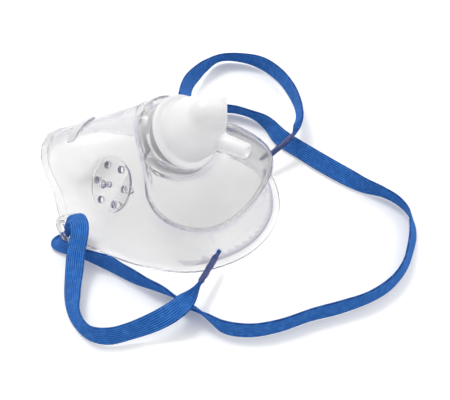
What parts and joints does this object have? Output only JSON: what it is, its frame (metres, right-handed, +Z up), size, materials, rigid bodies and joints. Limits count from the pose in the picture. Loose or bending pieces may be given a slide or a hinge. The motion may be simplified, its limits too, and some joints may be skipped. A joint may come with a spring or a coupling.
{
  "type": "oxygen face mask",
  "caption": "Clear soft moulded face mask with a domed swivel elbow and tube nipple, side vents, a folded metal nose clip and a round-the-head elastic strap.",
  "frame": {"origin": "on the plane that the rim lies on, below the middle of the mask's length, in its plane of symmetry", "axes": "+X from the nose notch to the chin, +Z up from the face side to the top of the mask, +Y across to the wearer's other cheek; the elbow's nipple points along +X in the stored pose"},
  "size_m": [0.1467, 0.152, 0.0536],
  "materials": {
    "clear_vinyl": "clear soft moulded vinyl, glossy",
    "frosted_elbow": "milky translucent hard plastic, satin gloss",
    "clip_metal": "satin thin strip",
    "elastic": "ribbed woven elastic",
    "strap_tip": "fused, slightly glossy"
  },
  "bodies": {
    "mask": {"mask_shell": "clear_vinyl", "nose_clip": "clip_metal", "head_strap": "elastic", "strap_tip_near": "strap_tip", "strap_tip_far": "strap_tip"},
    "elbow": {"elbow_connector": "frosted_elbow"}
  },
  "joints": [
    {"name": "elbow_swivel", "type": "hinge", "parent": "mask", "child": "elbow", "pos_m": [0.0146, 0, 0.0355], "axis": [0.7071, 0, 0.7071], "continuous": true}
  ]
}
